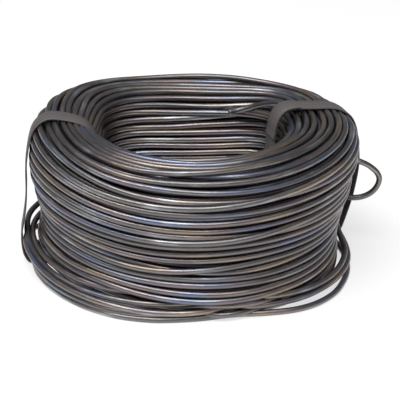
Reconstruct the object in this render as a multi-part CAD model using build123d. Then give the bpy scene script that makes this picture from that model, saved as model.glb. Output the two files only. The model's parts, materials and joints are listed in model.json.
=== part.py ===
from build123d import *
import math
import os

os.makedirs("parts", exist_ok=True)

# Coil of annealed tie wire, standing on its end with the bore upright.
# The origin is the middle of the bore at floor level, and the axis is +Z.
# Azimuths turn from +X towards +Y, and the front of the coil is -Y.
# A section is drawn in the XZ plane as (radius, height).

# Driving dimensions, in millimetres and degrees
WIRE_D = 1.8
BORE_R = 26.5
BORE_LOW = 3.0
BORE_HIGH = 37.0
BULGE = (50.0, 36.0)
WAIST = (47.3, 17.5)
FOOT_BULGE = (48.4, 7.0)
FOOT_EDGE = (47.4, 1.4)
CROWN_LIP = (28.2, 39.6)
CROWN_CREST = (41.0, 45.3)
CROWN_EDGE = (49.4, 41.0)
CROWN_TURNS = 9
FOOT_TURNS = 6
FOOT_INNER_R = 29.0
TURN_DEPTH = 0.9
LAND_W = 0.6

# Strapping: a flat band closed round the section of the coil, at two sides.
# Both straps are slack: they arch over the crown and run free past the waist.
STRAP_W = 7.2
STRAP_T = 0.5
STRAP_BEND_R = 2.2
SEAT_GAP = 0.02
STRAPS = {
    "strap_left": {
        "azimuth": 184.0,
        "outside": (
            (BORE_R, 33.0),
            (30.6, 42.3),
            (36.4, 46.3),
            (45.4, 47.1),
            (50.3, 43.4),
            (51.8, 33.0),
            (51.8, 21.0),
            (53.2, 9.0),
            (51.6, 0.0),
        ),
    },
    "strap_right": {
        "azimuth": 17.0,
        "outside": (
            (BORE_R, 40.0),
            (28.4, 45.5),
            (38.0, 45.4),
            (46.4, 43.6),
            (50.6, 38.6),
            (52.0, 28.6),
            (50.3, 19.0),
            (46.8, 4.0),
            (45.8, 0.0),
        ),
    },
}

# Loose wire as (azimuth, radius, height): two turns that sag away from the foot,
# and the cut inner end that arches over the lip of the bore
SLACK_LEFT = (
    (146.0, 44.6, 15.0),
    (165.0, 48.6, 13.4),
    (184.0, 51.2, 10.4),
    (204.0, 50.6, 6.6),
    (238.0, 49.4, 4.2),
    (272.0, 45.6, 4.0),
)
SLACK_RIGHT = (
    (24.0, 40.5, 2.1),
    (14.0, 42.6, 1.7),
    (4.0, 44.9, 1.2),
    (-17.0, 47.9, 0.98),
    (-36.0, 50.2, 0.95),
    (-50.0, 50.2, 0.95),
    (-65.0, 47.6, 0.98),
    (-85.0, 42.6, 1.4),
)
INNER_END = (
    (2.0, 33.4, 41.8),
    (13.0, 31.9, 43.0),
    (22.0, 30.2, 43.4),
    (32.0, 28.7, 44.3),
    (48.0, 27.9, 42.3),
    (68.0, 27.5, 38.4),
)

# Tail of the outer end, in front of the right strap: a hairpin that stands off the coil
TAIL = (
    (41.5, 11.6, 30.6),
    (48.4, 9.4, 27.8),
    (54.5, 9.2, 24.9),
    (56.8, 9.3, 21.0),
    (55.0, 9.3, 17.3),
    (49.0, 9.4, 15.0),
    (42.6, 11.2, 15.2),
)

# Wire as drawn where it stands free: few sides, same thickness
WIRE_SIDES = 8
WIRE_R = WIRE_D / 2


def turned_crests(line, turns, depth):
    """Corner points along a section line: a crest for each turn, valleys between."""
    corners = []
    for i in range(turns):
        if i > 0:
            t = i / turns
            along = line % t
            inward = Vector(along.Y, -along.X)
            corners.append(line @ t + inward * depth)
        corners.append(line @ ((i + 0.5) / turns))
    return [(c.X, c.Y) for c in corners]


def foot_crests():
    """Corner points of the flat end, where every turn has a land on the floor."""
    pitch = (FOOT_EDGE[0] - FOOT_INNER_R) / FOOT_TURNS
    corners = []
    for i in range(FOOT_TURNS):
        middle = FOOT_EDGE[0] - (i + 0.5) * pitch
        if i > 0:
            corners.append((middle + pitch / 2, TURN_DEPTH))
        corners.append((middle + LAND_W / 2, 0))
        corners.append((middle - LAND_W / 2, 0))
    return corners


def coil_body():
    """The wound wire as one turned solid with its bore and its turns on both ends."""
    with BuildSketch(Plane.XZ) as section:
        with BuildLine():
            crown = Spline(CROWN_LIP, CROWN_CREST, CROWN_EDGE, mode=Mode.PRIVATE)
            Polyline(
                (BORE_R, BORE_LOW),
                (BORE_R, BORE_HIGH),
                CROWN_LIP,
                *turned_crests(crown, CROWN_TURNS, TURN_DEPTH),
                CROWN_EDGE,
                BULGE,
                WAIST,
                FOOT_BULGE,
                FOOT_EDGE,
                *foot_crests(),
                (BORE_R, BORE_LOW),
            )
        make_face()
    return revolve(section.sketch, Axis.Z)


def strap_outline(outside):
    """Outer outline of a strap: flush in the bore and on the floor, free elsewhere."""
    with BuildSketch() as outline:
        with BuildLine():
            FilletPolyline((BORE_R, 0), *outside, radius=STRAP_BEND_R, close=True)
        make_face()
    return outline.sketch


def section_slab(sketch, azimuth, width):
    """A section outline thickened to a slab across its own azimuth."""
    plane = Plane.XZ.rotated((0, 0, azimuth))
    return extrude(plane * sketch, amount=width / 2, both=True)


def strap(azimuth, outside):
    """A closed flat band, drawn on its own radial plane."""
    outline = strap_outline(outside)
    band = outline - offset(outline, -STRAP_T)
    return section_slab(band, azimuth, STRAP_W)


def strap_seat(azimuth, outside):
    """What a strap presses out of the turns: all that lies outside its inner face."""
    inside = offset(strap_outline(outside), -STRAP_T - SEAT_GAP)
    reach = 2 * BULGE[0]
    around = Pos(reach / 2, CROWN_CREST[1] / 2) * Rectangle(reach, 2 * CROWN_CREST[1])
    return section_slab(around - inside, azimuth, STRAP_W + 2 * SEAT_GAP)


def round_axis(azimuth, radius, height):
    """A point given round the bore's axis."""
    angle = math.radians(azimuth)
    return Vector(radius * math.cos(angle), radius * math.sin(angle), height)


def drawn_wire(points):
    """Wire swept through points with its round section drawn by a few flats."""
    path = Wire([Edge.make_spline([Vector(p) for p in points])])
    start = Plane(origin=path @ 0, z_dir=path % 0)
    return sweep(start * RegularPolygon(WIRE_R, WIRE_SIDES), path=path)


wire_coil = coil_body()
for lay in STRAPS.values():
    wire_coil -= strap_seat(**lay)
for route in (SLACK_LEFT, SLACK_RIGHT, INNER_END):
    wire_coil += drawn_wire([round_axis(*place) for place in route])
wire_coil += drawn_wire(TAIL)

export_step(wire_coil, "parts/wire_coil.step")
for name, lay in STRAPS.items():
    export_step(strap(**lay), f"parts/{name}.step")
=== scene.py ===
"""Coil of annealed tie wire: its wound turns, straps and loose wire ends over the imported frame.

Lengths are in millimetres and azimuths in degrees until a mesh is written, which is in metres.
Azimuths turn from +X towards +Y, so the front of the coil is at 270.
"""

import json
import logging
from dataclasses import dataclass, field
from enum import Enum

import bpy
import numpy as np
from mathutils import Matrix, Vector


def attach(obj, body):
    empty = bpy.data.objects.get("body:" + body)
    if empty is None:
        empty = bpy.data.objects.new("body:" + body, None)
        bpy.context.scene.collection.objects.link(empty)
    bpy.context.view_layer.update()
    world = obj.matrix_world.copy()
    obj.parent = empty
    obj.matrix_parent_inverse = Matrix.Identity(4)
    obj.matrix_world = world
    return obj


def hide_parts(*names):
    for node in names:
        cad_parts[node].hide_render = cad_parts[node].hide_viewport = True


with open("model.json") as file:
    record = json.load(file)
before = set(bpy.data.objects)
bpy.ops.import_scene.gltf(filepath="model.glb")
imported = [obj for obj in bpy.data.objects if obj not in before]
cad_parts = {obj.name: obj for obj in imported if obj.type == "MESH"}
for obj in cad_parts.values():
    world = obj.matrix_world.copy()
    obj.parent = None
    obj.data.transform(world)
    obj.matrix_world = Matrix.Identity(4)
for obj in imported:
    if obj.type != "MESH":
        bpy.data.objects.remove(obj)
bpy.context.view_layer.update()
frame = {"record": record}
bore_mount = next(mount for mount in frame["record"]["mounts"] if mount["name"] == "bore")

log = logging.getLogger("tie_wire_coil")

MM = 0.001
TINY = 1e-6
BODY = "root"
WIRE_SLOT = "annealed_wire"
STRAP_SLOT = "strapping"
UV_NAME = "along_wire"
QUAD_CORNERS = 4
UP = Vector((0.0, 0.0, 1.0))

# A cut face has this V in the UV map, and a cut end narrows by this share of the wire's radius
CUT_FACE_V = 2.0
CUT_BEVEL = 0.18

Pair = tuple[float, float]
Socket = bpy.types.NodeSocket


class Side(Enum):
    """The two places where a strap holds the coil."""

    LEFT = "left"
    RIGHT = "right"


@dataclass(frozen=True)
class Wire:
    """The wire as drawn: its thickness and how finely it is divided."""

    diameter: float = 1.8
    sides: int = 12
    stations: int = 180

    @property
    def radius(self) -> float:
        """Half the wire's thickness."""
        return self.diameter / 2


@dataclass(frozen=True)
class Surface:
    """A mesh before it is written: points, faces and one UV pair for each face corner."""

    points: np.ndarray
    faces: list
    uv: np.ndarray


def degrees_from(azimuth: np.ndarray, centre: float) -> np.ndarray:
    """How far azimuths are from a centre, between -180 and 180 degrees."""
    return (azimuth - centre + 180.0) % 360.0 - 180.0


def bump(azimuth: np.ndarray, centre: float, reach: float) -> np.ndarray:
    """A smooth rise to 1 at one azimuth: exp(-(distance / reach) squared), round the circle.

    Args:
        azimuth: azimuths in degrees.
        centre: the azimuth of the top.
        reach: how far the rise spreads, in degrees.

    Returns:
        The height of the rise at each azimuth.
    """
    return np.exp(-((degrees_from(azimuth, centre) / reach) ** 2))


def ramp(value: np.ndarray, low: float, high: float) -> np.ndarray:
    """0 below low and 1 above high, with the cubic 3t^2 - 2t^3 between."""
    t = np.clip((value - low) / (high - low), 0.0, 1.0)
    return t * t * (3.0 - 2.0 * t)


def wander(count: int, every: float, size: float, rng: np.random.Generator) -> np.ndarray:
    """A smooth random walk about zero: random knots, joined by raised-cosine blends.

    Args:
        count: number of values.
        every: values between two knots.
        size: standard deviation at the knots.
        rng: seeded source of the knots.

    Returns:
        The values, one for each place along the wire.
    """
    knots = rng.normal(0.0, size, int(count / every) + 3)
    place = np.arange(count) / every + rng.random()
    first = place.astype(int)
    blend = 0.5 - 0.5 * np.cos(np.pi * (place - first))
    return knots[first] * (1.0 - blend) + knots[first + 1] * blend


def smooth_path(points: np.ndarray, per_span: int, closed: bool = False) -> np.ndarray:
    """A Catmull-Rom curve: each span is the cubic through two points with the slope of their neighbours.

    Args:
        points: the points it passes through, one row each.
        per_span: places worked out on each span.
        closed: whether the last point joins the first.

    Returns:
        The places along the curve.
    """
    points = np.asarray(points, float)
    if closed:
        ring = np.vstack([points[-1:], points, points[:2]])
    else:
        ring = np.vstack([2 * points[:1] - points[1:2], points, 2 * points[-1:] - points[-2:-1]])
    a, b, c, d = ring[:-3, None], ring[1:-2, None], ring[2:-1, None], ring[3:, None]
    t = np.linspace(0.0, 1.0, per_span, endpoint=False)[None, :, None]
    square = 2 * a - 5 * b + 4 * c - d
    cube = 3 * b - a - 3 * c + d
    curve = 0.5 * (2 * b + (c - a) * t + square * t**2 + cube * t**3)
    curve = curve.reshape(-1, points.shape[1])
    return curve if closed else np.vstack([curve, points[-1:]])


def length_before(line: np.ndarray) -> np.ndarray:
    """The length of a line from its start to each of its places."""
    return np.concatenate([[0.0], np.cumsum(np.linalg.norm(np.diff(line, axis=0), axis=1))])


def blended(places: np.ndarray, share: float) -> np.ndarray:
    """Each row blended with its neighbours: share of each of the two, and the rest of its own."""
    near = np.vstack([places[:1], places, places[-1:]])
    return (1 - 2 * share) * places + share * (near[:-2] + near[2:])


def widened(gap: np.ndarray, least: float, share: np.ndarray | float) -> np.ndarray:
    """Moves that widen gaps to a least length: the gap's own direction x what it lacks x share."""
    distance = np.maximum(np.hypot(gap[..., 0], gap[..., 1]), TINY)
    missing = np.maximum(least - distance, 0.0)
    return gap * (share * missing / distance)[..., None]


def around_axis(azimuth: np.ndarray, radius: np.ndarray, height: np.ndarray) -> np.ndarray:
    """Points given round the bore's axis, as x, y and z."""
    angle = np.radians(azimuth)
    return np.stack([radius * np.cos(angle), radius * np.sin(angle), height], axis=-1)


def grid_faces(rows: int, columns: int, closed: bool) -> np.ndarray:
    """Quads over a grid of points whose columns run round and meet.

    Point (i, j) is number i x columns + j. Each quad joins (i, j), (i, j + 1), (i + 1, j + 1)
    and (i + 1, j), and past the last column comes the first.

    Args:
        rows: rows of points.
        columns: points in a row.
        closed: whether the last row joins the first.

    Returns:
        Four point numbers for each quad.
    """
    i, j = np.meshgrid(np.arange(rows if closed else rows - 1), np.arange(columns), indexing="ij")
    ii, jj = (i + 1) % rows, (j + 1) % columns
    corners = (i, j), (i, jj), (ii, jj), (ii, j)
    return np.stack([row * columns + column for row, column in corners], axis=-1).reshape(-1, 4)


def grid_uv(u: np.ndarray, v: np.ndarray) -> np.ndarray:
    """UV pairs for the corners of such quads.

    Args:
        u: U at both edges of every row of quads, so one value more than there are rows.
        v: V at both edges of every column of quads.

    Returns:
        A pair for each corner, in the order of the faces.
    """
    i, j = np.meshgrid(np.arange(len(u) - 1), np.arange(len(v) - 1), indexing="ij")
    corners = (i, j), (i, j + 1), (i + 1, j + 1), (i + 1, j)
    pairs = [np.stack([u[row], v[column]], axis=-1) for row, column in corners]
    return np.stack(pairs, axis=-2).reshape(-1, 2)


def end_faces(rows: int, columns: int) -> list:
    """The flat faces that close the first and the last row of such a grid."""
    numbers = list(range(rows * columns))
    return [numbers[:columns][::-1], numbers[-columns:]]


def tube(
    path: np.ndarray,
    along: np.ndarray,
    wire: Wire,
    upright: Vector,
    start: float,
    cut: tuple[int, int] = (1, 1),
) -> Surface:
    """A round tube: at each place along the path, a circle across the path's direction.

    The circle's first axis is path direction x upright, and its second is at right angles to both.
    Both ends are closed by a flat face, and a cut end narrows over its last ring, as sheared wire does.

    Args:
        path: places along the centre line.
        along: the path's direction at each place.
        wire: its thickness and its flats round the circle.
        upright: a direction that the path never takes.
        start: length of wire that comes before the path, for the UV map.
        cut: 1 for a cut end and 0 where the wire goes on in another piece, at the start and the end.

    Returns:
        The tube, with U as the distance along it in metres and V once round it. The flat ends
        have a V of their own, by which the finish tells a cut face from the skin.
    """
    along = along / np.linalg.norm(along, axis=1, keepdims=True)
    across = np.cross(along, np.array(upright))
    across /= np.linalg.norm(across, axis=1, keepdims=True)
    over = np.cross(across, along)
    travelled = start + length_before(path)
    ring = np.clip(np.arange(-cut[0], len(path) + cut[1]), 0, len(path) - 1)
    beyond = np.zeros(len(ring))
    beyond[0] -= cut[0]
    beyond[-1] += cut[1]
    centre = path[ring] + along[ring] * (CUT_BEVEL * wire.radius * beyond)[:, None]
    thick = wire.radius * (1 - CUT_BEVEL * np.abs(beyond))
    turn = np.linspace(0.0, 2 * np.pi, wire.sides, endpoint=False)[None, :, None]
    circle = np.cos(turn) * across[ring][:, None] + np.sin(turn) * over[ring][:, None]
    points = (centre[:, None] + thick[:, None, None] * circle).reshape(-1, 3)
    faces = grid_faces(len(ring), wire.sides, False).tolist() + end_faces(len(ring), wire.sides)
    skin = grid_uv(travelled[ring] * MM, np.arange(wire.sides + 1) / wire.sides)
    ends = np.tile([travelled[-1] * MM, CUT_FACE_V], (2 * wire.sides, 1))
    return Surface(points, faces, np.vstack([skin, ends]))


def write_piece(
    name: str,
    surface: Surface,
    material: bpy.types.Material,
    slot: str,
    *stands_for: str,
) -> bpy.types.Object:
    """Writes a surface as an object that rides on the coil, smooth but for the rims of its flat ends.

    Args:
        name: of the piece.
        surface: its points, faces and UV pairs.
        material: its finish.
        slot: the record's material slot; not used.
        stands_for: CAD nodes that it replaces.

    Returns:
        The new object.
    """
    mesh = bpy.data.meshes.new(name)
    mesh.from_pydata((surface.points * MM).tolist(), [], surface.faces)
    layer = mesh.uv_layers.new(name=UV_NAME)
    layer.data.foreach_set("uv", surface.uv.astype(np.float32).ravel())
    mesh.polygons.foreach_set("use_smooth", np.ones(len(mesh.polygons), bool))
    mesh.materials.append(material)
    mesh.validate()
    mesh.update()
    for end in (face for face in mesh.polygons[-2:] if face.loop_total > QUAD_CORNERS):
        for corner in end.loop_indices:
            mesh.edges[mesh.loops[corner].edge_index].use_edge_sharp = True
    piece = bpy.data.objects.new(name, mesh)
    bpy.context.scene.collection.objects.link(piece)
    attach(piece, BODY)
    if stands_for:
        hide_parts(*stands_for)
    log.info("%s: %d faces", name, len(mesh.polygons))
    return piece


@dataclass(frozen=True)
class Swell:
    """A change of the bundle's shape that is strongest at one azimuth.

    size is the change there, in millimetres or as a fullness, and reach is how far round it
    spreads. A change with two heights in below is whole under the first and gone over the second.
    """

    size: float
    azimuth: float
    reach: float
    below: tuple[float, ...] = ()

    def at(self, azimuth: np.ndarray, height: np.ndarray | float = 0.0) -> np.ndarray:
        """The change at each azimuth and height: size x bump x (1 - ramp)."""
        change = self.size * bump(azimuth, self.azimuth, self.reach)
        return change * (1 - ramp(height, *self.below)) if self.below else change


def total(swells: tuple, azimuth: np.ndarray, height: np.ndarray | float = 0.0) -> np.ndarray:
    """The sum of several changes of shape."""
    return sum(swell.at(azimuth, height) for swell in swells)


@dataclass(frozen=True)
class Section:
    """The outline of the wound bundle, cut through on one side of the bore.

    It is a superellipse, whose corners have fullnesses of their own:
    |x / half width|^n + |z / half height|^n = 1, where n is the corner's fullness. The bundle was
    strapped and set down by hand, so its shape changes a little round the coil. The bore is the
    packed mount's.
    """

    bore_radius: float = bore_mount["dims"]["r_mm"]
    outer_radius: float = 50.0
    height: float = 45.4
    shoulder: float = 3.4
    lip: float = 3.3
    foot_lip: float = 4.0
    foot_outer: float = 5.0
    corner_blend: float = 0.25
    waist_depth: float = 2.8
    waist_height: float = 17.5
    waist_reach: float = 7.5
    outer_from: Pair = (38.0, 46.0)
    top_from: Pair = (24.0, 43.0)
    shoulder_swells: tuple[Swell, ...] = (Swell(3.3, 184.0, 42.0), Swell(1.8, 15.0, 26.0))
    lip_swells: tuple[Swell, ...] = (Swell(0.7, 285.0, 60.0), Swell(2.0, 8.0, 50.0))
    foot_swells: tuple[Swell, ...] = (Swell(4.0, 305.0, 30.0),)
    wall_drawn_in: tuple[Swell, ...] = (
        Swell(2.2, 4.0, 38.0, (29.0, 37.0)),
        Swell(3.6, 4.0, 38.0, (9.0, 19.0)),
        Swell(-2.6, 4.0, 38.0, (0.0, 5.0)),
        Swell(1.3, 184.0, 45.0, (6.0, 20.0)),
        Swell(0.9, 312.0, 30.0, (8.0, 20.0)),
        Swell(1.5, 225.0, 32.0, (5.0, 12.0)),
    )
    back_corner: tuple[Swell, ...] = (Swell(2.4, 130.0, 24.0),)
    bore_corners: tuple[Swell, ...] = (
        Swell(4.6, 137.0, 23.0),
        Swell(2.2, 137.0, 23.0, (37.0, 42.0)),
        Swell(4.4, 46.0, 23.0),
    )
    crown_rise: tuple[Swell, ...] = (
        Swell(0.6, 184.0, 50.0),
        Swell(-0.7, 262.0, 50.0),
        Swell(-1.8, 80.0, 40.0),
        Swell(-0.5, 12.0, 40.0),
    )
    lip_rise: tuple[Swell, ...] = (Swell(-1.2, 95.0, 60.0),)

    def fullness(self, c: np.ndarray, s: np.ndarray, azimuth: np.ndarray) -> np.ndarray:
        """The corners' fullnesses, blended across the middle of each face.

        The shoulder is squarest at the left, and the lip of the bore at the right.

        Args:
            c: cosine of the outline's own angle, 1 at the outer wall.
            s: sine of that angle, 1 at the crown.
            azimuth: where round the coil.

        Returns:
            The superellipse's exponent at each point.
        """
        outer = ramp(c, -self.corner_blend, self.corner_blend)
        upper = ramp(s, -self.corner_blend, self.corner_blend)
        shoulder = self.shoulder + total(self.shoulder_swells, azimuth)
        lip = self.lip + total(self.lip_swells, azimuth)
        foot = self.foot_outer + total(self.foot_swells, azimuth)
        top = shoulder * outer + lip * (1 - outer)
        return top * upper + (foot * outer + self.foot_lip * (1 - outer)) * (1 - upper)

    def at(self, turn: np.ndarray, azimuth: np.ndarray, inset: np.ndarray | float) -> tuple:
        """Radius and height of the bundle at an angle of its outline and an azimuth.

        The superellipse comes first. Then the outer wall is drawn in by its waist,
        exp(-((height - waist height) / reach) squared), and by its swells, the corners are moved
        out, and the crown is raised or lowered.

        Args:
            turn: angle on the outline in radians, 0 at the outer wall and a quarter turn at the crown.
            azimuth: where round the coil, in degrees.
            inset: how far inside the bundle's surface.

        Returns:
            The radius and the height.
        """
        c, s = np.cos(turn), np.sin(turn)
        n = self.fullness(c, s, azimuth)
        scale = (np.abs(c) ** n + np.abs(s) ** n) ** (-1 / n)
        half_width = (self.outer_radius - self.bore_radius) / 2
        half_height = self.height / 2
        radius = (self.outer_radius + self.bore_radius) / 2 + (half_width - inset) * scale * c
        height = half_height + (half_height - inset) * scale * s
        outer = ramp(radius, *self.outer_from)
        waist = self.waist_depth * np.exp(-(((height - self.waist_height) / self.waist_reach) ** 2))
        radius = radius - outer * (waist + total(self.wall_drawn_in, azimuth, height))
        radius = radius + outer * total(self.back_corner, azimuth)
        radius = radius + (1 - outer) * total(self.bore_corners, azimuth, height)
        rise = total(self.crown_rise, azimuth)
        rise = rise + (1 - outer) * total(self.lip_rise, azimuth)
        return radius, height + ramp(height, *self.top_from) * rise


@dataclass(frozen=True)
class Lay:
    """Distances between neighbouring turns on each face of the bundle.

    The faces blend into each other over the heights and radii given. The outline's angles run
    from the inner edge of the foot once round, past the lip of the bore. The turns are counted on
    the section at one azimuth, and furthest keeps a place short of the table's last entry.
    """

    foot: float = 2.35
    wall: float = 2.14
    crown: float = 2.5
    bore: float = 2.4
    foot_heights: Pair = (2.5, 7.0)
    crown_heights: Pair = (36.0, 42.5)
    wall_radii: Pair = (36.0, 40.0)
    first_angle: float = -0.7 * np.pi
    lip_angle: float = 0.75 * np.pi
    last_angle: float = 1.22 * np.pi
    samples: int = 1201
    azimuth_step: float = 7.5
    counted_at: float = 300.0
    furthest: float = 0.9999

    def table(self, section: Section, inset: float) -> tuple[float, np.ndarray]:
        """Where the turns come along the outline, from the inner edge of the foot once round.

        The number of turns up to a place is the length of outline to it, over the local distance
        between turns. It is scaled to come out the same all round the coil, both at the lip of the
        bore and at the end.

        Args:
            section: the bundle's outline.
            inset: depth of the wire's centre line.

        Returns:
            The number of turns in all, and the outline's angle for each azimuth (rows) and for
            evenly spaced numbers of turns (columns).
        """
        angles = np.linspace(self.first_angle, self.last_angle, self.samples)
        turn, azimuth = np.meshgrid(angles, np.arange(0.0, 360.0, self.azimuth_step))
        radius, height = section.at(turn, azimuth, inset)
        crown = ramp(height, *self.crown_heights)
        foot = 1 - ramp(height, *self.foot_heights)
        wall = self.bore + (self.wall - self.bore) * ramp(radius, *self.wall_radii)
        pitch = self.crown * crown + self.foot * foot + wall * (1 - crown - foot)
        step = np.hypot(np.diff(radius, axis=1), np.diff(height, axis=1)) / pitch[:, 1:]
        counted = np.cumsum(np.pad(step, ((0, 0), (1, 0))), axis=1)
        lip = int(np.searchsorted(angles, self.lip_angle))
        reference = counted[int(self.counted_at / self.azimuth_step)]
        share = reference[lip] / reference[-1]
        to_lip = counted[:, lip : lip + 1]
        before = counted / to_lip * share
        after = share + (1 - share) * (counted - to_lip) / (counted[:, -1:] - to_lip)
        passed = np.where(np.arange(self.samples) <= lip, before, after)
        even = np.linspace(0.0, 1.0, self.samples)
        return reference[-1], np.stack([np.interp(even, row, angles) for row in passed])

    def angle(self, table: tuple[float, np.ndarray], place: np.ndarray, azimuth: np.ndarray) -> np.ndarray:
        """The outline's angle at places of the strand, blended between the table's four nearest entries.

        Args:
            table: as table returns it.
            place: numbers of turns from the inner edge of the foot.
            azimuth: where round the coil, in degrees.

        Returns:
            The angle at each place, in radians.
        """
        turns, angles = table
        rows, columns = angles.shape
        row = azimuth / 360.0 * rows
        column = np.clip(place / turns, 0.0, self.furthest) * (columns - 1)
        i, j = row.astype(int), column.astype(int)
        across, along = row - i, column - j
        near = angles[i % rows, j] * (1 - along) + angles[i % rows, j + 1] * along
        far = angles[(i + 1) % rows, j] * (1 - along) + angles[(i + 1) % rows, j + 1] * along
        return near * (1 - across) + far * across


@dataclass(frozen=True)
class Roll:
    """How far the lay is rolled up the outer wall and over the crown near the left strap, in turns."""

    wall: float = 1.3
    shoulder: float = 1.2
    shoulder_height: float = 40.0
    shoulder_reach: float = 9.0
    azimuth: float = 186.0
    reach: float = 44.0
    radii: Pair = (25.0, 45.0)

    def at(self, azimuth: np.ndarray, radius: np.ndarray, height: np.ndarray) -> np.ndarray:
        """bump x (wall + shoulder x exp(-(height above the shoulder / reach) squared)) x ramp."""
        above = (height - self.shoulder_height) / self.shoulder_reach
        rolled = self.wall + self.shoulder * np.exp(-(above**2))
        return bump(azimuth, self.azimuth, self.reach) * rolled * ramp(radius, *self.radii)


@dataclass(frozen=True)
class Crossing:
    """A turn that climbs slowly over its neighbour, runs beside it for a while and climbs back.

    start is counted in turns from the inner edge of the foot, span and ease are in degrees, and
    fade is the number of turns over which its neighbours stop closing in.
    """

    start: float
    span: float
    ease: float = 80.0
    fade: float = 3.0

    def swapped(self, turns: np.ndarray) -> np.ndarray:
        """1 where the two turns have changed places, eased at both ends."""
        end = self.start + self.span / 360.0
        ease = self.ease / 360.0
        return ramp(turns, self.start, self.start + ease) * (1 - ramp(turns, end - ease, end))

    def drawn_in(self, turns: np.ndarray) -> np.ndarray:
        """How far the other turns close in on the pair that cross, less so further away.

        It is 1 beside the place where the two lie over each other, and falls off as
        exp(-distance / fade), with the sign of the side.

        Args:
            turns: places along the strand, in turns.

        Returns:
            The share of the pinch at each place, from -1 to 1.
        """
        beside = self.start + (turns - self.start) % 1.0
        over = self.swapped(beside)
        away = turns - beside - 0.5
        closer = 4 * over * (1 - over) * np.sign(away) * np.exp(-np.abs(away) / self.fade)
        return np.where(np.abs(away) > 1, closer, 0.0)


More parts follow.
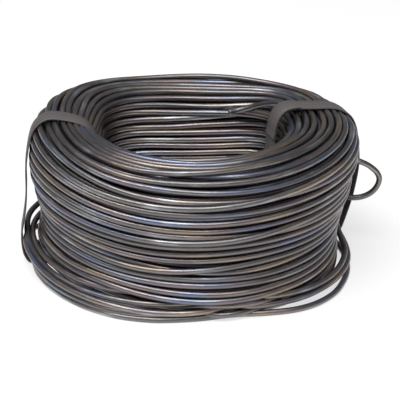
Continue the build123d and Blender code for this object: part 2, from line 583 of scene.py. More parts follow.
@dataclass
class Winding:
    """The wound turns: one long strand over the surface, and one nested under it.

    left_out is the turns at the end of the outline that no strand reaches. sway and sink are how
    far a turn wanders along and under the outline, with random knots sway_every turns apart, or
    slow_sway and slow_sink times that. climb and dip are four times the diameters by which a
    crossing lifts one turn and presses the other, and pinch is the turns by which its neighbours
    close in. spacing and loose_spacing are least distances in diameters, laps_near is how many
    turns away a wire can touch, and held is the share of its shift that a place keeps in a round.
    """

    wire: Wire = field(default_factory=Wire)
    section: Section = field(default_factory=Section)
    lay: Lay = field(default_factory=Lay)
    roll: Roll = field(default_factory=Roll)
    seed: int = 11
    left_out: float = 2.5
    sway: float = 0.11
    sway_every: float = 0.12
    slow_sway: float = 2.7
    sink: float = 0.30
    slow_sink: float = 1.9
    climb: float = 2.5
    dip: float = 0.9
    pinch: float = 0.36
    nest_shift: float = 0.5
    nest_depth: float = 1.5
    bore_nest: float = 0.35
    bore_radii: Pair = (29.0, 35.0)
    rounds: int = 180
    held: float = 0.996
    smoothing: float = 0.3
    spacing: float = 1.005
    loose_spacing: float = 1.01
    laps_near: int = 3
    press_every: int = 6
    last_presses: int = 3
    polish: int = 4
    polishing: float = 0.25
    core_depth: float = 3.4
    core_points: int = 120
    stretches: tuple[str, ...] = ("foot_and_wall", "wall_and_crown", "crown_and_bore")
    crossings: tuple[Crossing, ...] = (
        Crossing(12.60, 250.0, 84.0),
        Crossing(17.66, 260.0, 88.0),
        Crossing(22.70, 240.0, 84.0),
        Crossing(26.66, 240.0, 76.0),
        Crossing(33.62, 250.0, 84.0),
        Crossing(44.10, 180.0, 84.0),
    )

    def strand(self, depth: float, shift: float, rng: np.random.Generator) -> np.ndarray:
        """The planned route of a strand, as (azimuth, radius, height) at every station of every turn.

        Args:
            depth: of its centre line under that of the surface turns.
            shift: turns by which it is offset.
            rng: seeded source of its sway.

        Returns:
            Rows of azimuth, radius and height along the strand.
        """
        table = self.lay.table(self.section, self.wire.radius)
        laps = int(table[0] - shift - self.left_out)
        t = np.arange(laps * self.wire.stations) / self.wire.stations
        azimuth = (t * 360.0) % 360.0
        every = self.wire.stations * self.sway_every
        place = t + shift
        spot = self.section.at(self.lay.angle(table, place, azimuth), azimuth, self.wire.radius)
        place = place + self.roll.at(azimuth, *spot)
        place = place + wander(len(t), every, self.sway, rng)
        place = place + wander(len(t), every * self.slow_sway, self.sway, rng)
        lift = np.zeros(len(t))
        if depth == 0:
            for crossing in self.crossings:
                over = crossing.swapped(t)
                under = crossing.swapped(t - 1.0)
                place = place + over - under - self.pinch * crossing.drawn_in(t)
                climbed = self.climb * over * (1 - over) - self.dip * under * (1 - under)
                lift = lift + self.wire.diameter * climbed
        sink = np.abs(wander(len(t), every * self.slow_sink, self.sink, rng))
        deeper = 1 + self.bore_nest * (1 - ramp(spot[0], *self.bore_radii))
        inset = self.wire.radius + depth * deeper + sink - lift
        radius, height = self.section.at(self.lay.angle(table, place, azimuth), azimuth, inset)
        return np.stack([azimuth, radius, height], axis=-1)

    def relaxed(self, strands: list, fixed: list, straps: list) -> list:
        """Pushes turns apart where they would run into each other, and keeps every turn smooth.

        In each round the shift of every place is blended with that of its neighbours along the
        wire. Then any two turns closer than one diameter at a station move apart by half of what
        is missing each, and the turns also give way to the loose wire and to the straps.

        Args:
            strands: planned routes, as (azimuth, radius, height) along each strand.
            fixed: loose wires that don't move, as (stations, places, hold).
            straps: the straps that the turns lie under.

        Returns:
            The routes after the last round.
        """
        plan = [strand[:, 1:].copy() for strand in strands]
        here = [planned.copy() for planned in plan]
        lap = self.wire.stations
        for number in range(self.rounds):
            for k, planned in enumerate(plan):
                here[k] = planned + self.held * blended(here[k] - planned, self.smoothing)
            pressed = number % self.press_every == 0 or number >= self.rounds - self.last_presses
            for k, places in enumerate(here):
                for other in range(k, len(here)):
                    for apart in range(1 if other == k else -self.laps_near, self.laps_near + 1):
                        self.part(places, here[other], apart * lap)
                for loose in fixed:
                    self.give_way(places, *loose)
                for strap in straps if pressed else ():
                    strap.press(places, lap, self.wire.radius)
                np.maximum(places[:, 1], self.wire.radius, out=places[:, 1])
        for _ in range(self.polish):
            here = [blended(places, self.polishing) for places in here]
        return [np.column_stack([strand[:, 0], places]) for strand, places in zip(strands, here)]

    def part(self, one: np.ndarray, two: np.ndarray, apart: int) -> None:
        """Moves the places one[i] and two[i + apart] away from each other where the wires overlap.

        Args:
            one: radius and height along a strand, changed in place.
            two: the same for a strand that may be the same one.
            apart: stations by which the second place is further on.
        """
        first = max(0, -apart)
        last = min(len(one), len(two) - apart)
        if last <= first:
            return
        a = one[first:last]
        b = two[first + apart : last + apart]
        push = widened(b - a, self.wire.diameter * self.spacing, 0.5)
        a -= push
        b += push

    def give_way(
        self, strand: np.ndarray, stations: np.ndarray, places: np.ndarray, hold: np.ndarray
    ) -> None:
        """Moves every turn of a strand clear of a loose wire, less so where its hold is below 1."""
        laps = strand.reshape(-1, self.wire.stations, 2)
        gap = laps[:, stations] - places[None]
        laps[:, stations] += widened(gap, self.wire.diameter * self.loose_spacing, hold)

    def core(self) -> Surface:
        """Painted shade: a closed ring under the nested turns, coloured dark to stand in for the shade
        inside the bundle.

        Returns:
            The ring, where point (i, j) is angle i of the outline at azimuth j.
        """
        turn = np.linspace(0.0, 2 * np.pi, self.core_points, endpoint=False)
        azimuth = np.linspace(0.0, 360.0, self.core_points, endpoint=False)
        angle, around = np.meshgrid(turn, azimuth, indexing="ij")
        points = around_axis(around, *self.section.at(angle, around, self.core_depth))
        faces = grid_faces(self.core_points, self.core_points, True)
        return Surface(points.reshape(-1, 3), faces.tolist(), np.zeros((faces.size, 2)))

    def build(self, steel: bpy.types.Material, shade: bpy.types.Material, fixed: list, straps: list) -> None:
        """Builds the turns and the core, and puts them in place of the CAD coil.

        Args:
            steel: the wire's finish.
            shade: the finish of the core, a flat dark painted shade.
            fixed: loose wires that the turns give way to.
            straps: straps that the turns lie under.
        """
        rng = np.random.default_rng(self.seed)
        planned = [self.strand(0.0, 0.0, rng), self.strand(self.nest_depth, self.nest_shift, rng)]
        routes = self.relaxed(planned, fixed, straps)
        start = 0.0
        for name, route in zip(("surface_turns", "nested_turns"), routes):
            places = around_axis(*route.T)
            along = np.gradient(places, axis=0)
            runs = np.array_split(np.arange(len(places)), len(self.stretches))
            for k, (label, run) in enumerate(zip(self.stretches, runs)):
                # A stretch ends at the place where the next one starts
                span = slice(run[0], run[-1] + 2)
                cut = (int(k == 0), int(k == len(runs) - 1))
                surface = tube(places[span], along[span], self.wire, UP, start, cut)
                start += length_before(places[span])[-1]
                write_piece(f"{name}_{label}", surface, steel, WIRE_SLOT)
        # The core is painted shade: a dark ring where the inside of the bundle lies in shade
        write_piece("painted_shade_core", self.core(), shade, WIRE_SLOT, "wire_coil")


@dataclass
class LooseWire:
    """What has come away from the bundle: slack turns, the tail loop and the inner end.

    Slack turns are given as (azimuth, radius, height), and the others as (x, y, z). Slack turns 1
    to 5 come away behind the left strap, and the third lies on the floor all round the front.
    Turns 6 and 7 come away at the right. The starts are lengths of wire, which set the streaks of
    one stretch apart from those of the next.
    """

    wire: Wire = field(default_factory=Wire)
    fade: float = 14.0
    slack_places: int = 14
    end_places: int = 10
    first_start: float = 20000.0
    slack_start: float = 400.0
    end_start: float = 100.0
    slack_turns: tuple = (
        (
            (134, 40.2, 16.6), (148, 44.6, 15.0), (165, 48.6, 13.4), (175, 50.9, 12.2), (184, 51.2, 10.6),
            (192, 51.0, 8.9), (204, 50.2, 6.9), (218, 49.6, 5.6), (238, 49.1, 5.0), (256, 48.0, 5.0),
            (274, 45.4, 5.4), (290, 42.4, 6.4),
        ),
        (
            (142, 40.6, 5.2), (155, 45.0, 4.4), (168, 48.9, 5.6), (176, 50.4, 7.2), (184, 51.3, 8.5),
            (193, 52.0, 8.1), (205, 51.5, 6.2), (222, 51.0, 4.7), (243, 50.5, 3.6), (258, 49.5, 3.0),
            (274, 47.0, 2.9), (292, 43.6, 4.0), (304, 41.8, 5.4),
        ),
        (
            (156, 40.8, 5.6), (171, 45.0, 2.8), (188, 49.0, 1.0), (206, 49.6, 0.9), (225, 50.3, 0.9),
            (242, 50.8, 0.9), (255, 49.9, 0.9), (263, 48.6, 0.9), (272, 47.2, 0.9), (280, 46.2, 0.9),
            (287, 46.5, 0.9), (296, 48.4, 0.9), (305, 50.6, 0.9), (313, 51.4, 0.9), (323, 50.9, 0.9),
            (334, 49.2, 0.9), (343, 47.9, 0.9), (354, 46.2, 0.9), (366, 44.6, 1.1), (378, 42.9, 2.2),
            (392, 41.4, 4.6),
        ),
        (
            (156, 40.6, 8.4), (171, 45.4, 5.0), (188, 49.6, 3.2), (206, 50.0, 2.6), (225, 50.4, 2.5),
            (242, 50.6, 2.2), (256, 49.4, 2.4), (270, 47.0, 2.6), (284, 45.6, 2.6), (298, 44.2, 3.0),
            (312, 41.6, 4.6),
        ),
        (
            (134, 40.2, 10.8), (149, 44.6, 10.6), (166, 47.6, 10.8), (178, 49.2, 10.4), (186, 49.6, 9.8),
            (196, 49.2, 8.6), (210, 48.4, 7.6), (228, 48.0, 7.2), (246, 46.6, 7.2), (262, 44.2, 7.6),
            (276, 41.8, 8.4),
        ),
        (
            (44, 40.2, 10.2), (30, 42.2, 8.2), (15, 43.3, 6.9), (6, 44.7, 5.4), (-1, 45.9, 4.1),
            (-8, 46.9, 3.2), (-17, 47.6, 2.9), (-30, 48.2, 2.9), (-46, 48.6, 2.9), (-58, 48.3, 3.1),
            (-74, 46.6, 3.6), (-90, 42.0, 5.0),
        ),
        (
            (42, 39.8, 13.4), (28, 41.8, 12.0), (10, 43.2, 10.1), (2, 43.8, 8.2), (-4, 44.9, 6.3),
            (-9, 46.0, 5.1), (-17, 46.7, 4.8), (-26, 47.4, 4.7), (-36, 48.2, 4.8), (-48, 48.4, 5.0),
            (-62, 47.4, 5.4), (-76, 44.6, 6.4), (-90, 41.4, 8.0),
        ),
    )
    tail_loop: tuple = (
        (41.5, 11.6, 30.6), (44.8, 10.4, 29.4), (48.4, 9.4, 27.8), (50.6, 9.2, 27.1), (52.8, 9.2, 26.1),
        (54.5, 9.2, 24.9), (55.9, 9.3, 23.5), (56.7, 9.3, 21.9), (56.7, 9.3, 20.4), (56.1, 9.3, 18.8),
        (55.0, 9.3, 17.3), (53.4, 9.3, 16.1), (51.4, 9.3, 15.3), (49.0, 9.4, 15.0), (46.4, 10.0, 15.1),
        (43.0, 11.2, 15.2),
    )
    inner_end: tuple = (
        (35.0, 6.2, 40.4), (31.0, 8.9, 43.6), (26.6, 12.2, 44.8), (22.8, 16.6, 43.4), (19.6, 19.4, 41.8),
        (16.4, 21.2, 40.2), (13.4, 21.8, 39.3), (10.7, 20.9, 39.0),
    )
    inner_turn: tuple = (
        (29.6, 3.0, 40.4), (26.8, 9.4, 40.2), (23.9, 14.6, 39.9), (20.4, 18.6, 39.5), (16.4, 22.4, 38.8),
        (13.0, 25.6, 38.0), (9.8, 28.8, 37.0), (6.8, 31.8, 36.0),
    )

    def slack_route(self, turn: tuple) -> np.ndarray:
        """A slack turn's centre line as (azimuth, radius, height), smoothed through its points."""
        return smooth_path(np.array(turn, float), self.slack_places)

    def obstacles(self) -> list:
        """The slack turns as what the wound turns give way to.

        Each holds fully along its length, and its hold fades over the last stations at both ends.

        Returns:
            For each slack turn the stations it passes, its radius and height there, and its hold.
        """
        found = []
        pace = 360.0 / self.wire.stations
        for turn in self.slack_turns:
            route = self.slack_route(turn)
            azimuth, radius, height = route[np.argsort(route[:, 0])].T
            numbers = np.arange(np.ceil(azimuth[0] / pace), np.floor(azimuth[-1] / pace) + 1)
            places = [np.interp(numbers * pace, azimuth, values) for values in (radius, height)]
            from_end = np.minimum(np.arange(len(numbers)), np.arange(len(numbers))[::-1])
            hold = ramp(from_end, 0.0, self.fade)
            found.append((numbers.astype(int) % self.wire.stations, np.stack(places, axis=-1), hold))
        return found

    def build(self, steel: bpy.types.Material) -> None:
        """Builds each loose stretch of wire as a tube along a smooth path through its points.

        Args:
            steel: the wire's finish.
        """
        sideways = Vector((0.0, 1.0, 0.0))
        start = self.first_start
        for k, turn in enumerate(self.slack_turns):
            path = around_axis(*self.slack_route(turn).T)
            surface = tube(path, np.gradient(path, axis=0), self.wire, UP, start)
            write_piece(f"slack_turn_{k + 1}", surface, steel, WIRE_SLOT)
            start += self.slack_start
        for name, places, upright in (
            ("tail_loop", self.tail_loop, sideways),
            ("inner_end", self.inner_end, UP),
            ("inner_turn", self.inner_turn, UP),
        ):
            path = smooth_path(np.array(places), self.end_places)
            surface = tube(path, np.gradient(path, axis=0), self.wire, upright, start)
            write_piece(name, surface, steel, WIRE_SLOT)
            start += self.end_start


@dataclass
class Strap:
    """A flat band closed round the section of the coil.

    Its corners and those of its lapped end are (radius, height) in the strap's radial plane, on
    its outer face. air is the room between its inner face and what lies under it.
    """

    side: Side
    azimuth: float
    corners: tuple
    lap: tuple = ()
    lap_aside: float = -0.4
    width: float = 7.2
    thickness: float = 0.5
    edge: float = 0.16
    air: float = 0.02
    span_places: int = 12
    crown_radius: float = 45.0
    margin: float = 1.0
    furthest_push: float = 1.0

    def route(self, corners: tuple, closed: bool) -> np.ndarray:
        """A smooth line through corners, as (radius, height), none of it under the floor."""
        return np.maximum(smooth_path(np.array(corners, float), self.span_places, closed), 0.0)

    def inward(self, line: np.ndarray, closed: bool) -> np.ndarray:
        """Directions across a line, towards the inner face: the line's own, turned by a quarter.

        Args:
            line: radius and height along the band.
            closed: whether it is a loop.

        Returns:
            A direction of length 1 at each place.
        """
        along = np.gradient(line, axis=0)
        if closed:
            along = np.roll(line, -1, axis=0) - np.roll(line, 1, axis=0)
        along /= np.linalg.norm(along, axis=1, keepdims=True)
        return np.stack([along[:, 1], -along[:, 0]], axis=-1)

    def press(self, strand: np.ndarray, stations: int, wire_radius: float) -> None:
        """Moves the turns under the strap inwards, until they clear its inner face.

        Each place near the strap is compared with the nearest point of the band's line, and pushed
        along the line's inward direction by what is missing.

        Args:
            strand: radius and height at every station of every turn, changed in place.
            stations: stations in a turn.
            wire_radius: of the wire.
        """
        reach = np.degrees(self.width / 2 / self.crown_radius) + self.margin
        numbers = np.arange(stations)
        under = numbers[np.abs(degrees_from(numbers * 360.0 / stations, self.azimuth)) <= reach]
        laps = strand.reshape(-1, stations, 2)
        line = self.route(self.corners, True)
        here = laps[:, under]
        gap = here[:, :, None] - line[None, None]
        nearest = np.argmin((gap**2).sum(axis=-1), axis=-1)
        normal = self.inward(line, True)[nearest]
        depth = ((here - line[nearest]) * normal).sum(axis=-1)
        missing = np.clip(self.thickness + wire_radius + self.air - depth, 0.0, self.furthest_push)
        laps[:, under] += normal * missing[..., None]

    def band(self, line: np.ndarray, closed: bool, aside: float, out: float) -> Surface:
        """The band: its flat cross-section with eased edges, carried along a line.

        Point (i, j) is place i of the line, moved inwards by the depth and sideways by the offset
        of corner j of the cross-section.

        Args:
            line: radius and height along the band.
            closed: whether it is a loop.
            aside: shift along the coil's wall.
            out: shift outwards from the line.

        Returns:
            The band's surface.
        """
        half, ease, thick = self.width / 2, self.edge, self.thickness
        corner_offsets = [-half + ease, -half, -half, -half + ease, half - ease, half, half, half - ease]
        corner_depths = [0.0, ease, thick - ease, thick, thick, thick - ease, ease, 0.0]
        offset = aside + np.array(corner_offsets)
        depth = np.array(corner_depths) - out
        spot = line[:, None] + self.inward(line, closed)[:, None] * depth[None, :, None]
        angle = np.radians(self.azimuth)
        radial = np.array([np.cos(angle), np.sin(angle), 0.0])
        beside = np.array([-np.sin(angle), np.cos(angle), 0.0])
        points = spot[..., :1] * radial + offset[None, :, None] * beside + spot[..., 1:] * np.array(UP)
        rows, columns = points.shape[:2]
        faces = grid_faces(rows, columns, closed).tolist()
        run = length_before(np.vstack([line, line[:1]]) if closed else line)
        uv = grid_uv(run * MM, np.append(offset, offset[0]) * MM)
        if not closed:
            faces += end_faces(rows, columns)
            uv = np.vstack([uv, np.zeros((2 * columns, 2))])
        return Surface(points.reshape(-1, 3), faces, uv)

    def build(self, finish: bpy.types.Material) -> None:
        """Builds the band, and its lapped end if it has one, in place of its CAD node.

        Args:
            finish: of the strapping.
        """
        node = f"strap_{self.side.value}"
        loop = self.band(self.route(self.corners, True), True, 0.0, 0.0)
        write_piece(f"{node}_band", loop, finish, STRAP_SLOT, node)
        if self.lap:
            out = self.thickness + self.air
            end = self.band(self.route(self.lap, False), False, self.lap_aside, out)
            write_piece(f"{node}_lapped_end", end, finish, STRAP_SLOT)


LEFT_STRAP = (
    (26.5, 10.0), (26.5, 20.0), (26.5, 29.0), (27.4, 34.6), (28.1, 37.0), (29.4, 39.7), (30.6, 41.7),
    (32.4, 43.8), (34.6, 45.1), (37.0, 45.9), (40.1, 46.6), (43.0, 46.9), (45.0, 46.5), (46.5, 45.6),
    (47.9, 44.2), (49.0, 42.4), (49.9, 39.5), (50.6, 36.0), (51.2, 31.0), (51.3, 24.0), (51.7, 18.5),
    (52.4, 14.0), (53.1, 10.0), (53.0, 5.6), (52.2, 2.4), (50.4, 0.3), (46.0, 0.0), (38.0, 0.0),
    (31.0, 0.0), (27.6, 1.8),
)
RIGHT_STRAP = (
    (25.2, 8.0), (24.0, 18.0), (23.6, 27.0), (23.7, 34.0), (24.2, 37.8), (24.8, 40.8), (26.0, 43.4),
    (27.8, 45.1), (30.4, 45.6), (33.5, 45.5), (37.6, 45.1), (41.2, 44.8), (44.2, 44.2), (46.6, 43.1),
    (48.9, 41.3), (50.4, 38.6), (51.3, 35.0), (51.9, 30.0), (52.0, 25.0), (51.3, 19.8), (49.9, 13.6),
    (47.8, 7.2), (46.2, 3.4), (44.2, 0.6), (40.0, 0.0), (35.0, 0.0), (30.0, 0.0), (26.8, 1.6),
)
RIGHT_LAP = (
    (23.9, 36.6), (24.3, 38.2), (24.8, 40.8), (26.0, 43.4), (27.8, 45.1), (30.4, 45.6), (32.4, 45.55),
)


@dataclass
class NodeTree:
    """A node tree under construction."""

    tree: bpy.types.NodeTree

    def add(self, kind: str, sockets: dict, **settings) -> bpy.types.Node:
        """Adds a node.

        Args:
            kind: type of the node.
            sockets: input names or numbers, each with the value or the output that feeds it.
            settings: properties of the node.

        Returns:
            The node.
        """
        node = self.tree.nodes.new(kind)
        for name, value in settings.items():
            setattr(node, name, value)
        for name, value in sockets.items():
            self.feed(node.inputs[name], value)
        return node

    def feed(self, socket: Socket, value: object) -> None:
        """Sets an input socket to a value, or links an output to it."""
        if isinstance(value, Socket):
            self.tree.links.new(value, socket)
        else:
            socket.default_value = value

    def placed(self, group: bpy.types.NodeTree, sockets: dict) -> bpy.types.Node:
        """Places a group with this material's own values."""
        return self.add("ShaderNodeGroup", sockets, node_tree=group)

    def maths(self, operation: str, *values: object) -> Socket:
        """The result of a Math node on one to three values or outputs."""
        return self.add("ShaderNodeMath", dict(enumerate(values)), operation=operation).outputs[0]

    def between(self, value: Socket, low: float, high: float) -> Socket:
        """0 where the value is below low and 1 where it is above high, eased between."""
        sockets = {"Value": value, "From Min": low, "From Max": high}
        return self.add("ShaderNodeMapRange", sockets, interpolation_type="SMOOTHSTEP").outputs["Result"]

    def blend(self, mask: object, one: object, two: object) -> Socket:
        """A colour: the first where the mask is 0, the second where it is 1."""
        return self.add("ShaderNodeMix", {0: mask, 6: one, 7: two}, data_type="RGBA").outputs[2]

    def noise(self, vector: Socket, scale: float, detail: float, shift: float = 0.0) -> Socket:
        """Smooth noise between 0 and 1, moved along by a shift so that two don't agree."""
        ends = {0: vector, 1: (shift, shift, shift)}
        moved = self.add("ShaderNodeVectorMath", ends, operation="ADD").outputs[0]
        sockets = {"Vector": moved, "Scale": scale, "Detail": detail}
        return self.add("ShaderNodeTexNoise", sockets).outputs["Fac"]

    def relief(self, height: Socket, strength: float, depth: float) -> Socket:
        """A normal from a height that changes over the surface, with its depth in metres."""
        sockets = {"Height": height, "Strength": strength, "Distance": depth}
        return self.add("ShaderNodeBump", sockets).outputs["Normal"]


def new_group(name: str, inputs: dict, outputs: dict) -> tuple[NodeTree, bpy.types.Node, bpy.types.Node]:
    """An empty shader node group with its named sockets.

    Args:
        name: of the group.
        inputs: socket names, each with its type and its default.
        outputs: socket names, each with its type.

    Returns:
        The group's tree as NodeTree, its input node and its output node.
    """
    group = bpy.data.node_groups.new(name, "ShaderNodeTree")
    for label, (kind, value) in inputs.items():
        socket = group.interface.new_socket(name=label, in_out="INPUT", socket_type=kind)
        if value is not None:
            socket.default_value = value
    for label, kind in outputs.items():
        group.interface.new_socket(name=label, in_out="OUTPUT", socket_type=kind)
    return NodeTree(group), group.nodes.new("NodeGroupInput"), group.nodes.new("NodeGroupOutput")


@dataclass
class Effects:
    """The node groups that the finishes share, and where their noises turn from 0 to 1."""

    violet_from: Pair = (0.40, 0.49)
    warm_from: Pair = (0.51, 0.60)
    tinted_from: Pair = (0.38, 0.62)
    filmed_from: Pair = (0.54, 0.76)
    lined_from: Pair = (0.35, 0.68)
    flecked_from: Pair = (0.55, 0.70)
    streaks: bpy.types.NodeTree = field(init=False)
    marks: bpy.types.NodeTree = field(init=False)

    def __post_init__(self) -> None:
        """Builds both groups."""
        self.streaks = self.streak_group()
        self.marks = self.mark_group()

    def streak_group(self) -> bpy.types.NodeTree:
        """Long streaks of colour over a base: three tints that change places, and a pale film on top.

        Returns:
            The group, with Vector and five colours in and Color out.
        """
        names = ("Base", "Cool", "Warm", "Violet", "Pale")
        colours = {name: ("NodeSocketColor", (0.5, 0.5, 0.5, 1.0)) for name in names}
        inputs = {"Vector": ("NodeSocketVector", None), **colours}
        tree, given, result = new_group("colour_streaks", inputs, {"Color": "NodeSocketColor"})
        vector, base, cool, warm, violet, pale = (given.outputs[name] for name in inputs)
        hue = tree.noise(vector, scale=1.0, detail=2.0)
        strength = tree.noise(vector, scale=1.3, detail=3.0, shift=17.0)
        film = tree.noise(vector, scale=1.7, detail=3.0, shift=41.0)
        tint = tree.blend(tree.between(hue, *self.violet_from), cool, violet)
        tint = tree.blend(tree.between(hue, *self.warm_from), tint, warm)
        body = tree.blend(tree.between(strength, *self.tinted_from), base, tint)
        body = tree.blend(tree.between(film, *self.filmed_from), body, pale)
        tree.feed(result.inputs["Color"], body)
        return tree.tree

    def mark_group(self) -> bpy.types.NodeTree:
        """Fine lengthwise lines and flecks, as a mask and as a height.

        Returns:
            The group, with Vector and Fleck Share in and Marks and Height out.
        """
        inputs = {"Vector": ("NodeSocketVector", None), "Fleck Share": ("NodeSocketFloat", 0.5)}
        outputs = {"Marks": "NodeSocketFloat", "Height": "NodeSocketFloat"}
        tree, given, result = new_group("drawn_marks", inputs, outputs)
        vector, share = (given.outputs[name] for name in inputs)
        lines = tree.between(tree.noise(vector, scale=1.0, detail=4.0), *self.lined_from)
        flecks = tree.between(tree.noise(vector, scale=3.1, detail=2.0, shift=9.0), *self.flecked_from)
        worn = tree.maths("MULTIPLY", flecks, share)
        tree.feed(result.inputs["Marks"], tree.maths("MAXIMUM", lines, worn))
        tree.feed(result.inputs["Height"], tree.maths("SUBTRACT", lines, worn))
        return tree.tree


def blank_material(name: str) -> tuple[bpy.types.Material, NodeTree, bpy.types.Node]:
    """A new material, its nodes as NodeTree, and its shader."""
    material = bpy.data.materials.new(name)
    material.use_nodes = True
    return material, NodeTree(material.node_tree), material.node_tree.nodes["Principled BSDF"]


@dataclass(frozen=True)
class SteelFinish:
    """Annealed wire: a dark oxide skin with temper colours in long streaks, half glossy.

    A metre of wire has so many spots of a pattern, and streak_turn and line_turn are the radius,
    in spots, of the circle that the pattern is read on round the wire.
    """

    base: tuple = (0.200, 0.190, 0.190, 1.0)
    cool: tuple = (0.200, 0.231, 0.316, 1.0)
    warm: tuple = (0.352, 0.289, 0.239, 1.0)
    violet: tuple = (0.258, 0.222, 0.236, 1.0)
    pale: tuple = (0.502, 0.526, 0.552, 1.0)
    cut: tuple = (0.55, 0.54, 0.53, 1.0)
    streaks_per_metre: float = 30.0
    streak_turn: float = 0.16
    lines_per_metre: float = 240.0
    line_turn: float = 1.6
    fleck_share: float = 0.7
    smoothest: float = 0.34
    roughest: float = 0.50
    relief: float = 0.25
    relief_depth: float = 0.00004

    def wrapped(self, tree: NodeTree, parts: object, along: float, around: float) -> Socket:
        """Coordinates without a seam: (U x along, around x cos V, around x sin V).

        Args:
            tree: the material's nodes.
            parts: U and V as outputs.
            along: spots to a metre.
            around: radius of the circle, in spots.

        Returns:
            The coordinates.
        """
        angle = tree.maths("MULTIPLY", parts[1], 2 * np.pi)
        sockets = {
            0: tree.maths("MULTIPLY", parts[0], along),
            1: tree.maths("MULTIPLY", tree.maths("COSINE", angle), around),
            2: tree.maths("MULTIPLY", tree.maths("SINE", angle), around),
        }
        return tree.add("ShaderNodeCombineXYZ", sockets).outputs[0]

    def material(self, effects: Effects) -> bpy.types.Material:
        """The finish as a material that reads the UV map along the wire.

        Args:
            effects: the node groups it places.

        Returns:
            The material.
        """
        material, tree, shader = blank_material("annealed_wire")
        uv = tree.add("ShaderNodeUVMap", {}, uv_map=UV_NAME).outputs["UV"]
        parts = tree.add("ShaderNodeSeparateXYZ", {0: uv}).outputs
        skin_sockets = {
            "Vector": self.wrapped(tree, parts, self.streaks_per_metre, self.streak_turn),
            "Base": self.base,
            "Cool": self.cool,
            "Warm": self.warm,
            "Violet": self.violet,
            "Pale": self.pale,
        }
        skin = tree.placed(effects.streaks, skin_sockets).outputs["Color"]
        fine = self.wrapped(tree, parts, self.lines_per_metre, self.line_turn)
        marks = tree.placed(effects.marks, {"Vector": fine, "Fleck Share": self.fleck_share}).outputs
        is_cut = tree.maths("GREATER_THAN", parts[1], CUT_FACE_V - 0.5)
        tree.feed(shader.inputs["Base Color"], tree.blend(is_cut, skin, self.cut))
        spread = {"Value": marks["Marks"], "To Min": self.smoothest, "To Max": self.roughest}
        tree.feed(shader.inputs["Roughness"], tree.add("ShaderNodeMapRange", spread).outputs["Result"])
        tree.feed(shader.inputs["Normal"], tree.relief(marks["Height"], self.relief, self.relief_depth))
        shader.inputs["Metallic"].default_value = 1.0
        return material


@dataclass(frozen=True)
class StrappingFinish:
    """Flat strapping: matt, dark and warm, with fine lengthwise lines and scuffs.

    grain is how many spots the pattern has to a metre along the band and across it.
    """

    base: tuple = (0.105, 0.092, 0.093, 1.0)
    line: tuple = (0.150, 0.134, 0.134, 1.0)
    grain: tuple = (45.0, 1400.0, 1.0)
    fleck_share: float = 0.3
    roughness: float = 0.58
    relief: float = 0.3
    relief_depth: float = 0.00005

    def material(self, effects: Effects) -> bpy.types.Material:
        """The finish as a material that reads the UV map along the band.

        Args:
            effects: the node groups it places.

        Returns:
            The material.
        """
        material, tree, shader = blank_material("strapping")
        uv = tree.add("ShaderNodeUVMap", {}, uv_map=UV_NAME).outputs["UV"]
        fine = tree.add("ShaderNodeMapping", {"Vector": uv, "Scale": self.grain}).outputs["Vector"]
        marks = tree.placed(effects.marks, {"Vector": fine, "Fleck Share": self.fleck_share}).outputs
        tree.feed(shader.inputs["Base Color"], tree.blend(marks["Marks"], self.base, self.line))
        tree.feed(shader.inputs["Normal"], tree.relief(marks["Height"], self.relief, self.relief_depth))
        shader.inputs["Roughness"].default_value = self.roughness
        return material


@dataclass(frozen=True)
class ShadeFinish:
    """Painted shade: a flat dark colour for the inside of the bundle, seen between the turns, where hardly
    any light gets in.
    """

    colour: tuple = (0.02, 0.02, 0.02, 1.0)
    roughness: float = 0.8

    def material(self) -> bpy.types.Material:
        """The finish as a material."""
        material, _, shader = blank_material("inner_shade")
        shader.inputs["Base Color"].default_value = self.colour
        shader.inputs["Roughness"].default_value = self.roughness
        return material


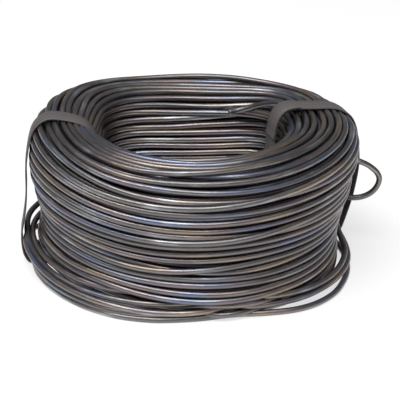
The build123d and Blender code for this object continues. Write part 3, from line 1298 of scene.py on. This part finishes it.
@dataclass(frozen=True)
class Studio:
    """The pale floor, the soft lamp and the camera of the photograph.

    Places are in millimetres. The lamp's size, the floor's reach and the nearest distance that the
    camera shows are in metres.
    """

    aim: tuple = (1.5, 0.0, 18.1)
    distance: float = 620.0
    elevation: float = 22.0
    middle_height: float = 22.0
    lens: float = 183.6
    sensor: float = 36.0
    nearest: float = 0.01
    lamp_place: tuple = (-160.0, -290.0, 790.0)
    lamp_aim: tuple = (0.0, 0.0, 20.0)
    lamp_width: float = 0.90
    lamp_depth: float = 0.40
    lamp_power: float = 7.2
    world_level: float = 0.20
    white: tuple = (1.0, 1.0, 1.0, 1.0)
    floor_reach: float = 4.0
    floor_colour: tuple = (0.45, 0.45, 0.45, 1.0)
    floor_roughness: float = 0.9
    floor_glow: float = 0.67

    def stand(self, thing: bpy.types.Object, place: Vector, aim: Vector) -> None:
        """Puts a lamp or a camera in its place, turned towards what it faces."""
        thing.location = place * MM
        thing.rotation_euler = (aim - place).to_track_quat("-Z", "Y").to_euler()
        bpy.context.scene.collection.objects.link(thing)

    def camera(self) -> None:
        """A long lens at the photograph's angle."""
        data = bpy.data.cameras.new("photo_camera")
        data.lens = self.lens
        data.sensor_width = self.sensor
        data.clip_start = self.nearest
        camera = bpy.data.objects.new("photo_camera", data)
        angle = np.radians(self.elevation)
        height = self.middle_height + self.distance * np.sin(angle)
        self.stand(camera, Vector((0.0, -self.distance * np.cos(angle), height)), Vector(self.aim))
        bpy.context.scene.camera = camera

    def lamp(self) -> None:
        """A soft oblong lamp over the front of the coil."""
        data = bpy.data.lights.new("key_overhead", "AREA")
        data.shape = "RECTANGLE"
        data.size = self.lamp_width
        data.size_y = self.lamp_depth
        data.energy = self.lamp_power
        lamp = bpy.data.objects.new("key_overhead", data)
        self.stand(lamp, Vector(self.lamp_place), Vector(self.lamp_aim))

    def world(self) -> None:
        """A plain soft level from all round."""
        world = bpy.data.worlds.new("studio")
        bpy.context.scene.world = world
        world.use_nodes = True
        background = world.node_tree.nodes["Background"]
        background.inputs["Color"].default_value = self.white
        background.inputs["Strength"].default_value = self.world_level

    def floor(self) -> None:
        """A wide pale floor that keeps the coil's faint shadow.

        It glows a little to rays from the camera, a reflection or a transmission, so that it shows
        white to them and adds no light to the coil.
        """
        mesh = bpy.data.meshes.new("floor")
        far = self.floor_reach
        corners = [(-far, -far, 0.0), (far, -far, 0.0), (far, far, 0.0), (-far, far, 0.0)]
        mesh.from_pydata(corners, [], [tuple(range(len(corners)))])
        floor = bpy.data.objects.new("floor", mesh)
        bpy.context.scene.collection.objects.link(floor)
        material, tree, shader = blank_material("pale_floor")
        shader.inputs["Base Color"].default_value = self.floor_colour
        shader.inputs["Roughness"].default_value = self.floor_roughness
        shader.inputs["Emission Color"].default_value = self.white
        path = tree.add("ShaderNodeLightPath", {}).outputs
        seen = tree.maths("MAXIMUM", path["Is Camera Ray"], path["Is Glossy Ray"])
        seen = tree.maths("MAXIMUM", seen, path["Is Transmission Ray"])
        tree.feed(shader.inputs["Emission Strength"], tree.maths("MULTIPLY", seen, self.floor_glow))
        mesh.materials.append(material)

    def build(self) -> None:
        """Sets up the camera, the world, the floor and the lamp."""
        self.camera()
        self.world()
        self.floor()
        self.lamp()
        bpy.context.scene.view_settings.view_transform = "Standard"


def main() -> None:
    """Builds the coil, its loose wire, its straps and the studio."""
    logging.basicConfig(level=logging.INFO, format="%(message)s")
    effects = Effects()
    steel = SteelFinish().material(effects)
    shade = ShadeFinish().material()
    strapping = StrappingFinish().material(effects)
    straps = [
        Strap(Side.LEFT, 184.0, LEFT_STRAP),
        Strap(Side.RIGHT, 17.0, RIGHT_STRAP, RIGHT_LAP),
    ]
    loose = LooseWire()
    Winding().build(steel, shade, loose.obstacles(), straps)
    loose.build(steel)
    for strap in straps:
        strap.build(strapping)
    Studio().build()


if __name__ == "__main__":
    main()
